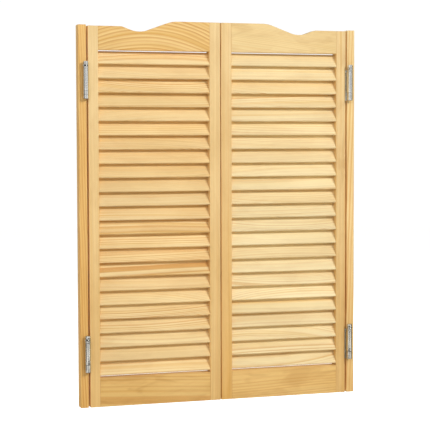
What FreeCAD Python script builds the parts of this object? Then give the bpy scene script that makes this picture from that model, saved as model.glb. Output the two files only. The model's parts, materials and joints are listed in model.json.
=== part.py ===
import FreeCAD, Part
import math
import os

# Pair of louvred cafe doors on two narrow strips, hung on double-action spring hinges.
# Frame: +X runs across the opening to the right, +Y runs through it away from the viewer,
# +Z is up. The origin lies on the level of the doors' bottom edges, halfway between the two
# strips and halfway through the doors' thickness.
# Everything is made once for the left-hand door and mirrored across X = 0 for the right.

# ---- Whole pair (mm, degrees) ----
overall_width = 813.0
overall_height = 1067.0
door_thickness = 31.8
meeting_gap = 3.2
edge_ease = 0.8

# ---- Strips that are screwed to the door frame ----
strip_width = 22.2
strip_above_door = 2.5
strip_hole_radius = 2.6
strip_hole_count = 4
strip_hole_end_margin = 50.0
strip_countersink_radius = 5.0
strip_countersink_depth = 3.2

# ---- Stiles and rails ----
hinge_stile_width = 28.0
meeting_stile_width = 30.5
rail_height = 81.0

# ---- Scalloped top edge, measured from the door's hinge edge ----
hinge_side_drop = 16.0
scallop_depth = 13.5
scallop_centre = 144.5
ramp_angle = 20.0
valley_radius = 73.0
crest_radius = 85.0
shoulder_radius = 15.0

# ---- Louvre ----
slat_thickness = 6.0
slat_angle = 33.0
slat_round = 1.0
slat_recess = 1.1
slat_overlap = 2.4
lowest_slat_clearance = 5.2
top_slat_clearance = 2.5
slot_depth = 6.0
slot_clearance = 0.1
slat_end_clearance = 0.3

# ---- Dowels between stiles and rails ----
dowel_radius = 4.0
dowel_depth = 18.0
dowel_end_relief = 1.0
dowel_clearance = 0.05
dowel_edge_margin = 18.0

# ---- Hinge barrels and plates ----
hinge_end_margin = 100.0
plate_thickness = 1.5
plate_clearance = 0.3
plate_edge_margin = 1.0
axis_stand_off = 12.7
lower_knuckle_height = 21.7
tube_height = 60.0
upper_knuckle_height = 4.5
collar_height = 7.0
cap_height = 8.0
cap_round = 1.6
stack_clearance = 0.2
tube_floor = 2.0

# ---- Spindles, springs and tension collars ----
spindle_radius = 2.5
running_clearance = 0.05
collar_tail_wall = 1.45
collar_tail_reach = 8.0
collar_hole_radius = 1.15
collar_hole_depth = 3.0
collar_hole_count = 6
pin_radius = 1.1
pin_stand_out = 2.0
pin_direction = 180.0
spring_wire_radius = 0.6
spring_pitch = 4.0
spring_clearance = 0.2

# ---- Hinge screws ----
screw_shank_radius = 1.6
screw_length = 16.0
screw_head_radius = 3.2
screw_head_height = 2.2
screw_slot_width = 0.9
screw_slot_depth = 0.9
screw_clearance = 0.05
screw_count = 4
screw_end_margin = 11.0
screw_stagger = 7.5

# ---- Places worked out from the sizes above; the left-hand door has negative X ----
half_thickness = door_thickness / 2
strip_outer_x = -overall_width / 2
strip_inner_x = strip_outer_x + strip_width
hinge_gap = 3 * plate_thickness + 2 * plate_clearance
gap_centre_x = strip_inner_x + hinge_gap / 2
door_hinge_x = strip_inner_x + hinge_gap
door_meeting_x = -meeting_gap / 2
hinge_stile_inner_x = door_hinge_x + hinge_stile_width
meeting_stile_inner_x = door_meeting_x - meeting_stile_width
hinge_side_height = overall_height - hinge_side_drop
strip_height = hinge_side_height + strip_above_door
top_rail_underside = overall_height - rail_height

# A barrel is, from its axis out: spindle, collar tail, spring, tube wall.
spindle_bore_radius = spindle_radius + running_clearance
collar_tail_radius = spindle_bore_radius + collar_tail_wall
spring_coil_radius = collar_tail_radius + spring_clearance + spring_wire_radius
tube_bore_radius = spring_coil_radius + spring_wire_radius + spring_clearance
barrel_radius = tube_bore_radius + plate_thickness
axis_offset = barrel_radius - plate_thickness / 2
axis_y = half_thickness + axis_stand_off
front_axis = (gap_centre_x - axis_offset, -axis_y)
back_axis = (gap_centre_x + axis_offset, axis_y)
plate_half_width = half_thickness - plate_edge_margin

tube_base = lower_knuckle_height + stack_clearance
tube_top = tube_base + tube_height
upper_knuckle_base = tube_top + stack_clearance
leaf_height = upper_knuckle_base + upper_knuckle_height
collar_base = leaf_height + stack_clearance
cap_base = collar_base + collar_height + stack_clearance
barrel_height = cap_base + cap_height
hinge_heights = {
    "upper": strip_height - hinge_end_margin - barrel_height,
    "lower": hinge_end_margin,
}

X_AXIS = FreeCAD.Vector(1, 0, 0)
Z_AXIS = FreeCAD.Vector(0, 0, 1)
ORIGIN = FreeCAD.Vector(0, 0, 0)
tolerance = 1e-6
lean = math.radians(slat_angle)
pin_angle = math.radians(pin_direction)


# ---- Small helpers ----
def block(x0, x1, y0, y1, z0, z1):
    """Box between two corners."""
    corner = FreeCAD.Vector(x0, y0, z0)
    return Part.makeBox(x1 - x0, y1 - y0, z1 - z0, corner)


def post(axis, radius, z0, z1):
    """Upright cylinder about an axis given as (x, y)."""
    return Part.makeCylinder(radius, z1 - z0, FreeCAD.Vector(axis[0], axis[1], z0), Z_AXIS)


def ring(axis, outer, inner, z0, z1):
    """Upright tube."""
    return post(axis, outer, z0, z1).cut(post(axis, inner, z0, z1))


def rod_along_x(radius, x0, x1, y, z):
    """Level cylinder that runs across the opening."""
    return Part.makeCylinder(radius, x1 - x0, FreeCAD.Vector(x0, y, z), X_AXIS)


def runs_along(edge, direction):
    """True for a straight edge parallel to the direction."""
    if not isinstance(edge.Curve, Part.Line):
        return False
    return abs(abs(edge.tangentAt(edge.FirstParameter).dot(direction)) - 1) < tolerance


def ease_edges(shape, direction):
    """Round the long edges slightly, as a sanded board has them."""
    edges = [edge for edge in shape.Edges if runs_along(edge, direction)]
    return shape.makeFillet(edge_ease, edges)


def evenly(first, last, count):
    """Evenly spaced values from first to last."""
    step = (last - first) / (count - 1)
    return [first + index * step for index in range(count)]


# ---- Louvre layout ----
class Slat:
    """Section of one slat: its width across the louvre, and the centre of its section."""

    def __init__(self, width, low_z):
        straight = width - 2 * slat_round
        thin = slat_thickness - 2 * slat_round
        self.width = width
        self.depth = straight * math.sin(lean) + thin * math.cos(lean) + 2 * slat_round
        self.height = straight * math.cos(lean) + thin * math.sin(lean) + 2 * slat_round
        self.y = self.depth / 2 + slat_recess - half_thickness
        self.z = low_z + self.height / 2

    def board(self, x0, x1, growth):
        """Rounded board along X, leaning back at the top, grown all round by a clearance."""
        half_width = self.width / 2 + growth
        half_thick = slat_thickness / 2 + growth
        board = block(x0, x1, -half_thick, half_thick, -half_width, half_width)
        edges = [edge for edge in board.Edges if runs_along(edge, X_AXIS)]
        board = board.makeFillet(slat_round + growth, edges)
        board.rotate(ORIGIN, X_AXIS, -slat_angle)
        board.translate(FreeCAD.Vector(0, self.y, self.z))
        return board


def slat_width_for(height=None):
    """Slat width that fills the door's thickness, or that reaches a given height."""
    thin = slat_thickness - 2 * slat_round
    if height is None:
        depth = door_thickness - 2 * slat_recess
        return (depth - 2 * slat_round - thin * math.cos(lean)) / math.sin(lean) + 2 * slat_round
    return (height - 2 * slat_round - thin * math.sin(lean)) / math.cos(lean) + 2 * slat_round


def louvre_layout():
    """All slats of one door from the bottom up; the top one is ripped to clear the rail."""
    lowest = rail_height + lowest_slat_clearance
    room = top_rail_underside - lowest
    full_width = slat_width_for()
    full_height = Slat(full_width, lowest).height
    count = round(room / (full_height - slat_overlap))
    pitch = room / count
    slats = [Slat(full_width, lowest + index * pitch) for index in range(count - 1)]
    top_width = min(full_width, slat_width_for(pitch - top_slat_clearance))
    slats.append(Slat(top_width, lowest + (count - 1) * pitch))
    return slats


SLATS = louvre_layout()


def slat_boards():
    """The slats, housed at both ends in slots in the stiles."""
    reach = slot_depth - slat_end_clearance
    x0 = hinge_stile_inner_x - reach
    x1 = meeting_stile_inner_x + reach
    return Part.makeCompound([slat.board(x0, x1, 0) for slat in SLATS])


def slat_slots(x0, x1):
    """Cutters for the slots in one stile."""
    return Part.makeCompound([slat.board(x0, x1, slot_clearance) for slat in SLATS])


# ---- Dowels ----
def dowel_heights():
    """Heights of the dowels: two at each end of both rails."""
    top_rail_at_hinge = hinge_side_height - dowel_edge_margin
    top_pair = [top_rail_underside + dowel_edge_margin, top_rail_at_hinge]
    bottom_pair = [dowel_edge_margin, rail_height - dowel_edge_margin]
    return bottom_pair + top_pair


def dowel_rods(radius, end_relief):
    """Dowels across both stile joints, or with an end relief their holes."""
    reach = dowel_depth + end_relief
    rods = []
    for joint_x in (hinge_stile_inner_x, meeting_stile_inner_x):
        for z in dowel_heights():
            rods.append(rod_along_x(radius, joint_x - reach, joint_x + reach, 0, z))
    return Part.makeCompound(rods)


def dowel_holes():
    """Cutters for the dowel holes in stiles and rails."""
    return dowel_rods(dowel_radius + dowel_clearance, dowel_end_relief)


# ---- Hinge screws ----
def screw(seat_x, way, y, z, growth):
    """Countersunk wood screw whose head lies flush at seat_x and whose point runs along way."""
    head = Part.makeCone(
        screw_head_radius + growth,
        screw_shank_radius + growth,
        screw_head_height,
        FreeCAD.Vector(seat_x, y, z),
        FreeCAD.Vector(way, 0, 0),
    )
    shank = Part.makeCylinder(
        screw_shank_radius + growth,
        screw_length + growth,
        FreeCAD.Vector(seat_x, y, z),
        FreeCAD.Vector(way, 0, 0),
    )
    return head.fuse(shank)


def screw_places():
    """Heights and offsets of one leaf's screws, in a zigzag."""
    heights = evenly(screw_end_margin, leaf_height - screw_end_margin, screw_count)
    return [(z, screw_stagger if index % 2 else -screw_stagger) for index, z in enumerate(heights)]


def leaf_screws(seat_x, way, growth):
    """Screws, or their holes, of the upper and lower leaf on one wooden edge."""
    screws = []
    for base in hinge_heights.values():
        for z, y in screw_places():
            screws.append(screw(seat_x, way, y, base + z, growth))
    return screws


def slotted_screws(seat_x, way):
    """The leaf screws with a driver slot in each head."""
    done = []
    for body in leaf_screws(seat_x, way, 0):
        centre = body.BoundBox.Center
        slot_x = sorted((seat_x, seat_x + way * screw_slot_depth))
        half_slot = screw_slot_width / 2
        cutter = block(
            slot_x[0],
            slot_x[1],
            centre.y - screw_head_radius,
            centre.y + screw_head_radius,
            centre.z - half_slot,
            centre.z + half_slot,
        )
        done.append(body.cut(cutter))
    return Part.makeCompound(done)


jamb_screw_seat_x = strip_inner_x + plate_thickness
door_screw_seat_x = door_hinge_x - plate_thickness


def jamb_screw_holes():
    """Cutters for the screws of the jamb leaves."""
    return Part.makeCompound(leaf_screws(jamb_screw_seat_x, -1, screw_clearance))


def door_screw_holes():
    """Cutters for the screws of the door leaves."""
    return Part.makeCompound(leaf_screws(door_screw_seat_x, 1, screw_clearance))


# ---- Wooden pieces ----
def strip_holes():
    """Countersunk holes for the screws that hold the strip to the door frame."""
    cutters = []
    last = strip_height - strip_hole_end_margin
    for z in evenly(strip_hole_end_margin, last, strip_hole_count):
        cutters.append(rod_along_x(strip_hole_radius, strip_outer_x, strip_inner_x, 0, z))
        cone = Part.makeCone(
            strip_hole_radius,
            strip_countersink_radius,
            strip_countersink_depth,
            FreeCAD.Vector(strip_inner_x - strip_countersink_depth, 0, z),
            X_AXIS,
        )
        cutters.append(cone)
    return Part.makeCompound(cutters)


def jamb_strip():
    """Narrow strip that carries the jamb leaves."""
    strip = block(strip_outer_x, strip_inner_x, -half_thickness, half_thickness, 0, strip_height)
    strip = ease_edges(strip, Z_AXIS)
    return strip.cut(strip_holes()).cut(jamb_screw_holes())


def hinge_stile():
    """Upright on the hinge side, lower than the meeting stile."""
    stile = block(
        door_hinge_x, hinge_stile_inner_x, -half_thickness, half_thickness, 0, hinge_side_height
    )
    stile = ease_edges(stile, Z_AXIS)
    slots = slat_slots(hinge_stile_inner_x - slot_depth, hinge_stile_inner_x + slot_depth)
    return stile.cut(slots).cut(dowel_holes()).cut(door_screw_holes())


def meeting_stile():
    """Upright at the middle of the opening."""
    stile = block(
        meeting_stile_inner_x, door_meeting_x, -half_thickness, half_thickness, 0, overall_height
    )
    stile = ease_edges(stile, Z_AXIS)
    slots = slat_slots(meeting_stile_inner_x - slot_depth, meeting_stile_inner_x + slot_depth)
    return stile.cut(slots).cut(dowel_holes())


def bottom_rail():
    """Plain rail between the stiles."""
    rail = block(
        hinge_stile_inner_x,
        meeting_stile_inner_x,
        -half_thickness,
        half_thickness,
        0,
        rail_height,
    )
    return ease_edges(rail, X_AXIS).cut(dowel_holes())


class Scallop:
    """Top edge of the top rail: shoulder, down a ramp, round the valley, up to the crest."""

    def __init__(self):
        slope = math.radians(ramp_angle)
        valley_x = door_hinge_x + scallop_centre
        valley_low = hinge_side_height - scallop_depth
        valley_corner = valley_low - valley_radius * (1 / math.cos(slope) - 1)
        down_run = (hinge_side_height - valley_corner) / math.tan(slope)
        up_run = (overall_height - valley_corner) / math.tan(slope)
        self.slope = slope
        self.shoulder = (valley_x - down_run, hinge_side_height)
        self.valley = (valley_x, valley_corner)
        self.crest = (valley_x + up_run, overall_height)

    def level_to_ramp(self, corner, radius, ramp_side):
        """Arc from a level edge down onto a ramp that lies on the given side of the corner."""
        x, z = corner
        half = self.slope / 2
        tangent = radius * math.tan(half)
        level_end = (x - ramp_side * tangent, z)
        middle = (
            level_end[0] + ramp_side * radius * math.sin(half),
            z - radius * (1 - math.cos(half)),
        )
        ramp_end = (
            x + ramp_side * tangent * math.cos(self.slope),
            z - tangent * math.sin(self.slope),
        )
        return level_end, middle, ramp_end

    def valley_arc(self):
        """Arc at the bottom between the two ramps."""
        tangent = valley_radius * math.tan(self.slope)
        x, z = self.valley
        side = tangent * math.cos(self.slope)
        rise = tangent * math.sin(self.slope)
        low = z + valley_radius * (1 / math.cos(self.slope) - 1)
        return (x - side, z + rise), (x, low), (x + side, z + rise)

    def edges(self, x0, x1):
        """Edges of the profile from x0 to x1, at Y = 0."""
        shoulder = self.level_to_ramp(self.shoulder, shoulder_radius, 1)
        valley = self.valley_arc()
        crest = tuple(reversed(self.level_to_ramp(self.crest, crest_radius, -1)))
        edges = [line((x0, self.shoulder[1]), shoulder[0]), arc(shoulder)]
        edges += [line(shoulder[2], valley[0]), arc(valley)]
        edges += [line(valley[2], crest[0]), arc(crest)]
        edges.append(line(crest[2], (x1, self.crest[1])))
        return edges


def upright_point(point):
    """Point of an X-Z outline at the rail's front face."""
    return FreeCAD.Vector(point[0], -half_thickness, point[1])


def line(start, end):
    """Straight edge of an X-Z outline."""
    return Part.LineSegment(upright_point(start), upright_point(end)).toShape()


def arc(points):
    """Arc of an X-Z outline through three points."""
    return Part.Arc(*[upright_point(point) for point in points]).toShape()


def top_rail():
    """Rail with the scalloped top edge."""
    x0 = hinge_stile_inner_x
    x1 = meeting_stile_inner_x
    top = Scallop().edges(x0, x1)
    right = line((x1, overall_height), (x1, top_rail_underside))
    under = line((x1, top_rail_underside), (x0, top_rail_underside))
    left = line((x0, top_rail_underside), (x0, hinge_side_height))
    outline = Part.Wire(top + [right, under, left])
    rail = Part.Face(outline).extrude(FreeCAD.Vector(0, door_thickness, 0))
    long_edges = []
    for edge in rail.Edges:
        ends = [vertex.Point for vertex in edge.Vertexes]
        on_one_face = abs(ends[0].y - ends[1].y) < tolerance
        upright = abs(ends[0].x - ends[1].x) < tolerance
        if on_one_face and not upright:
            long_edges.append(edge)
    rail = rail.makeFillet(edge_ease, long_edges)
    return rail.cut(dowel_holes())


# ---- Hinge pieces, at the height of one hinge's lower end ----
def leaf(plate_x, axis, side, base):
    """Leaf: a plate in the gap, and two knuckles round the spindle at the front or back."""
    plate = block(
        plate_x,
        plate_x + plate_thickness,
        -plate_half_width,
        plate_half_width,
        base,
        base + leaf_height,
    )
    wraps = [
        (base, base + lower_knuckle_height, spindle_bore_radius),
        (base + upper_knuckle_base, base + leaf_height, collar_tail_radius + running_clearance),
    ]
    arm_end = side * (axis_y - barrel_radius / 2)
    arm_y = sorted((side * plate_half_width, arm_end))
    shape = plate
    bores = []
    for z0, z1, bore in wraps:
        arm = block(plate_x, plate_x + plate_thickness, arm_y[0], arm_y[1], z0, z1)
        shape = shape.fuse(arm).fuse(post(axis, barrel_radius, z0, z1))
        bores.append(post(axis, bore, z0, z1))
    return shape.cut(Part.makeCompound(bores)).removeSplitter()


def jamb_leaf(base):
    """Leaf on the strip, curled round the front spindle."""
    return leaf(strip_inner_x, front_axis, -1, base)


def door_leaf(base):
    """Leaf on the door, curled round the back spindle."""
    return leaf(door_hinge_x - plate_thickness, back_axis, 1, base)


def centre_web(base):
    """Plate between the two barrels, curled at both ends into a long spring tube."""
    x0 = gap_centre_x - plate_thickness / 2
    x1 = gap_centre_x + plate_thickness / 2
    z0 = base + tube_base
    z1 = base + tube_top
    full = block(x0, x1, -plate_half_width, plate_half_width, base, base + leaf_height)
    middle = block(x0, x1, -axis_y, axis_y, z0, z1)
    shape = full.fuse(middle)
    bores = []
    for axis in (front_axis, back_axis):
        shape = shape.fuse(post(axis, barrel_radius, z0, z1))
        bores.append(post(axis, tube_bore_radius, z0 + tube_floor, z1))
        bores.append(post(axis, spindle_bore_radius, z0, z0 + tube_floor))
    return shape.cut(Part.makeCompound(bores)).removeSplitter()


def spring(axis, base):
    """Torsion spring, coiled between the tube and the collar's tail."""
    z0 = base + tube_base + tube_floor + spring_clearance + spring_wire_radius
    z1 = base + tube_top - spring_clearance - spring_wire_radius
    helix = Part.makeHelix(spring_pitch, z1 - z0, spring_coil_radius)
    start = FreeCAD.Vector(spring_coil_radius, 0, 0)
    rise = FreeCAD.Vector(0, 2 * math.pi * spring_coil_radius, spring_pitch)
    section = Part.Wire(Part.makeCircle(spring_wire_radius, start, rise))
    wire = Part.Wire(helix).makePipeShell([section], True, True)
    wire.translate(FreeCAD.Vector(axis[0], axis[1], z0))
    return wire


def springs(base):
    """Front and back spring of one hinge."""
    return Part.makeCompound([spring(front_axis, base), spring(back_axis, base)])


def spindle(axis, base):
    """Pivot rod with the round cap on top."""
    z0 = base + cap_base
    top = z0 + cap_height
    cap = post(axis, barrel_radius, z0, top)
    rim = [edge for edge in cap.Edges if abs(edge.BoundBox.ZMin - top) < tolerance]
    cap = cap.makeFillet(cap_round, rim)
    return cap.fuse(post(axis, spindle_radius, base, z0)).removeSplitter()


def radial_rod(axis, radius, reach_in, reach_out, z, angle):
    """Level rod that points away from an upright axis."""
    way = FreeCAD.Vector(math.cos(angle), math.sin(angle), 0)
    start = FreeCAD.Vector(axis[0], axis[1], z) + way * reach_in
    return Part.makeCylinder(radius, reach_out - reach_in, start, way)


def collar(axis, base):
    """Tension collar: a ring with tommy-bar holes, and a tail down into the spring."""
    z0 = base + collar_base
    z1 = z0 + collar_height
    body = post(axis, barrel_radius, z0, z1)
    body = body.fuse(post(axis, collar_tail_radius, base + tube_top - collar_tail_reach, z0))
    body = body.cut(post(axis, spindle_bore_radius, base, z1))
    floor_radius = barrel_radius - collar_hole_depth
    for index in range(collar_hole_count):
        angle = pin_angle + index * 2 * math.pi / collar_hole_count
        middle = (z0 + z1) / 2
        hole = radial_rod(axis, collar_hole_radius, floor_radius, 2 * barrel_radius, middle, angle)
        body = body.cut(hole)
    return body.removeSplitter()


def tension_pin(axis, base):
    """Loose pin in one of the collar's holes."""
    floor_radius = barrel_radius - collar_hole_depth
    middle = base + collar_base + collar_height / 2
    tip = barrel_radius + pin_stand_out
    return radial_rod(axis, pin_radius, floor_radius, tip, middle, pin_angle)


# ---- All pieces of the left-hand side, by name without the side ----
def wooden_pieces():
    """Strip and door of one side."""
    return {
        "jamb_strip": jamb_strip(),
        "hinge_stile": hinge_stile(),
        "meeting_stile": meeting_stile(),
        "top_rail": top_rail(),
        "bottom_rail": bottom_rail(),
        "louvre_slats": slat_boards(),
        "rail_dowels": dowel_rods(dowel_radius, 0),
    }


def hinge_pieces():
    """Both hinges of one side, with their screws."""
    pieces = {}
    for level, base in hinge_heights.items():
        pieces[level + "_jamb_leaf"] = jamb_leaf(base)
        pieces[level + "_centre_web"] = centre_web(base)
        pieces[level + "_door_leaf"] = door_leaf(base)
        pieces[level + "_springs"] = springs(base)
        for place, axis in (("_front_", front_axis), ("_back_", back_axis)):
            pieces[level + place + "spindle"] = spindle(axis, base)
            pieces[level + place + "collar"] = collar(axis, base)
            pieces[level + place + "pin"] = tension_pin(axis, base)
    pieces["jamb_leaf_screws"] = slotted_screws(jamb_screw_seat_x, -1)
    pieces["door_leaf_screws"] = slotted_screws(door_screw_seat_x, 1)
    return pieces


def cut_leaves(pieces):
    """Countersink the hinge leaves for their screws."""
    for level in hinge_heights:
        jamb = level + "_jamb_leaf"
        door = level + "_door_leaf"
        pieces[jamb] = pieces[jamb].cut(jamb_screw_holes())
        pieces[door] = pieces[door].cut(door_screw_holes())


def write_pieces():
    """Write every piece of the left side, and its mirror image for the right side."""
    os.makedirs("parts", exist_ok=True)
    pieces = wooden_pieces()
    pieces.update(hinge_pieces())
    cut_leaves(pieces)
    for name, shape in pieces.items():
        shape.exportStep("parts/left_" + name + ".step")
        mirrored = shape.mirror(ORIGIN, X_AXIS)
        mirrored.exportStep("parts/right_" + name + ".step")
        print(name, len(shape.Solids), round(shape.Volume, 2), shape.isValid())


write_pieces()
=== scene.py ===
"""Pair of louvred pine cafe doors on double-action spring hinges, finished around the frame."""

import json
import math
import random

import bpy
import numpy as np
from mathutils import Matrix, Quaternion, Vector


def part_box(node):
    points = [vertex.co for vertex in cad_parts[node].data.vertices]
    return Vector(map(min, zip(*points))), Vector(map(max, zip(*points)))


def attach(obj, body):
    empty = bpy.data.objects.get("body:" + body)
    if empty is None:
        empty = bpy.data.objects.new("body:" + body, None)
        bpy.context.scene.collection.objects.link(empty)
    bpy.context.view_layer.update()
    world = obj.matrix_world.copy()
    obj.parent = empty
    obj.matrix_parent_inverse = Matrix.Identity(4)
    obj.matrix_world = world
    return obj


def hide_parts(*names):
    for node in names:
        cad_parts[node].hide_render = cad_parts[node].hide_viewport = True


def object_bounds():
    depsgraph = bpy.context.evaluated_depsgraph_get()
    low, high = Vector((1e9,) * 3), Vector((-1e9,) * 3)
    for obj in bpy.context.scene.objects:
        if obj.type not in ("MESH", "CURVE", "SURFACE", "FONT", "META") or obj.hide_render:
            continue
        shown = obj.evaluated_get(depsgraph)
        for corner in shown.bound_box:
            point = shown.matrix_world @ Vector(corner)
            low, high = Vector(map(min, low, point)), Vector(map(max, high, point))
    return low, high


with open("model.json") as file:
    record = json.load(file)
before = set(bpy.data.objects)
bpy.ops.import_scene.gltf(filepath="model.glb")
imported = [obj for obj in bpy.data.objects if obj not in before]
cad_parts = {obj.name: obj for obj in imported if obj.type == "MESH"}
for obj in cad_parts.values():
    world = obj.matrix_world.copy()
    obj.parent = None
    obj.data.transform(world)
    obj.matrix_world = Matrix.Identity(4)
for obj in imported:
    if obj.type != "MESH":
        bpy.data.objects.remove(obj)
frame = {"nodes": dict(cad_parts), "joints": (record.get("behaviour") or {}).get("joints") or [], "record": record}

bl_info = {
    "name": "Cafe swinging doors",
    "version": (1, 0, 0),
    "blender": (4, 5, 0),
    "location": "3D View > Sidebar > Cafe doors",
    "description": "Finishes the boards, slats and spring hinges of a pair of cafe doors",
    "category": "Object",
}

FRAME_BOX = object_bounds()
SIDES = {"left": -1, "right": 1}
LEVELS = ("upper", "lower")
X_AXIS = Vector((1, 0, 0))
Z_AXIS = Vector((0, 0, 1))
MILLIMETRE = 0.001
NEAR = 0.001 * MILLIMETRE
NODE_SLOTS = {part["node"]: part["material_slot"] for part in frame["record"]["subparts"]}


# ---- Shader writing ----
class Socket:
    """One output of a shader node. Maths on it adds Math nodes."""

    def __init__(self, shader, link):
        self.shader = shader
        self.link = link

    def maths(self, operation, first, second=None):
        settings = {"operation": operation}
        values = {0: first} if second is None else {0: first, 1: second}
        return self.shader.node("ShaderNodeMath", settings, values)

    def __add__(self, other):
        return self.maths("ADD", self, other)

    def __radd__(self, other):
        return self.maths("ADD", other, self)

    def __sub__(self, other):
        return self.maths("SUBTRACT", self, other)

    def __rsub__(self, other):
        return self.maths("SUBTRACT", other, self)

    def __mul__(self, other):
        return self.maths("MULTIPLY", self, other)

    def __rmul__(self, other):
        return self.maths("MULTIPLY", other, self)

    def __truediv__(self, other):
        return self.maths("DIVIDE", self, other)

    def root(self):
        return self.maths("SQRT", self)

    def whole(self):
        return self.maths("FLOOR", self)

    def fraction(self):
        return self.maths("FRACT", self)

    def larger(self, other):
        return self.maths("MAXIMUM", self, other)


class Shader:
    """A node tree that is written from Python."""

    def __init__(self, owner):
        owner.use_nodes = True
        self.tree = owner.node_tree
        self.tree.nodes.clear()

    def node(self, kind, settings=None, values=None, output=0):
        """Add a node: its settings first, then its sockets' values or links."""
        made = self.tree.nodes.new(kind)
        for key, value in (settings or {}).items():
            setattr(made, key, value)
        for key, value in (values or {}).items():
            if isinstance(value, Socket):
                self.tree.links.new(value.link, made.inputs[key])
            else:
                made.inputs[key].default_value = value
        return Socket(self, made.outputs[output]) if len(made.outputs) else None

    def attribute(self, name, output="Vector"):
        """What a piece's mesh stores under a name."""
        return self.node("ShaderNodeAttribute", {"attribute_name": name}, output=output)

    def split(self, vector):
        """The three parts of a vector."""
        first = self.node("ShaderNodeSeparateXYZ", values={0: vector})
        return [Socket(self, out) for out in first.link.node.outputs]

    def join(self, x, y, z):
        """A vector from its three parts."""
        return self.node("ShaderNodeCombineXYZ", values={0: x, 1: y, 2: z})

    def place(self):
        """The three parts of a place on the piece, in metres."""
        return self.split(self.node("ShaderNodeTexCoord", output="Object"))

    def noise(self, place, detail=2.0, roughness=0.5, distortion=0.0):
        """Soft noise from 0 to 1, one wave per unit of place."""
        values = {
            "Vector": place,
            "Scale": 1.0,
            "Detail": detail,
            "Roughness": roughness,
            "Distortion": distortion,
        }
        return self.node("ShaderNodeTexNoise", values=values)

    def grit(self, place, waves, detail=2.0, roughness=0.5):
        """Noise with its own number of waves per metre along each axis."""
        parts = (part * count for part, count in zip(place, waves))
        return self.noise(self.join(*parts), detail, roughness)

    def rise(self, value, low, high):
        """0 below low and 1 above high, with a smooth step between."""
        values = {"Value": value, "From Min": low, "From Max": high}
        return self.node("ShaderNodeMapRange", {"interpolation_type": "SMOOTHSTEP"}, values)

    def mix(self, share, first, second):
        """A colour between two others."""
        values = {0: share, 6: first, 7: second}
        return self.node("ShaderNodeMix", {"data_type": "RGBA"}, values, 2)

    def tint(self, colour, red, green, blue):
        """A colour with each of its parts scaled."""
        factors = self.join(red, green, blue)
        return self.node("ShaderNodeVectorMath", {"operation": "MULTIPLY"}, {0: colour, 1: factors})

    def bump(self, height, distance, strength):
        """A normal for a relief of that height, in metres at 1."""
        values = {"Strength": strength, "Distance": distance, "Height": height}
        return self.node("ShaderNodeBump", values=values)

    def surface(self, shader):
        """Send a surface shader to the material output."""
        self.node("ShaderNodeOutputMaterial", values={"Surface": shader})

    def coat(self, values):
        """Give the material a principled surface with these values."""
        self.surface(self.node("ShaderNodeBsdfPrincipled", values=values))


def linear(colour):
    """Scene-linear colour with alpha from one as it shows on a screen."""
    parts = [c / 12.92 if c <= 0.04045 else ((c + 0.055) / 1.055) ** 2.4 for c in colour]
    return (*parts, 1.0)


def new_material(name):
    """Empty material and its shader writer."""
    material = bpy.data.materials.new(name)
    return material, Shader(material)


# ---- Finishes ----
# Layers of the pine's figure: waves per metre along, across and through the board, and the
# shares of the board's seed that move them.
PINE_LAYERS = {
    "wander": ((2.4, 14.0, 14.0), (1.0, 1.0, 0.0)),
    "streak": ((1.6, 95.0, 60.0), (3.1, 1.0, 0.0)),
    "mottle": ((11.0, 34.0, 30.0), (1.7, 0.0, 1.0)),
    "band": ((1.1, 330.0, 200.0), (0.7, 0.0, 1.0)),
    "patch": ((4.2, 9.0, 9.0), (2.3, 0.0, 1.0)),
    "fibre": ((26.0, 900.0, 900.0), (1.0, 0.0, 0.0)),
    "dash": ((70.0, 1500.0, 1500.0), (1.0, 0.0, 0.0)),
}
TONING = (0.06, 0.18, 0.38)
BEECH = ((0.80, 0.63, 0.45), (0.71, 0.52, 0.36), (0.48, 0.32, 0.20))
# Near-black of the painted shade on a barrel's end rims and in what is sunk in its side.
OILED_STEEL = ((0.30, 0.29, 0.29), (0.17, 0.16, 0.16))
SHADE_BLACK = (0.02, 0.018, 0.015, 1)
MATERIALS = {}


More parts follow.
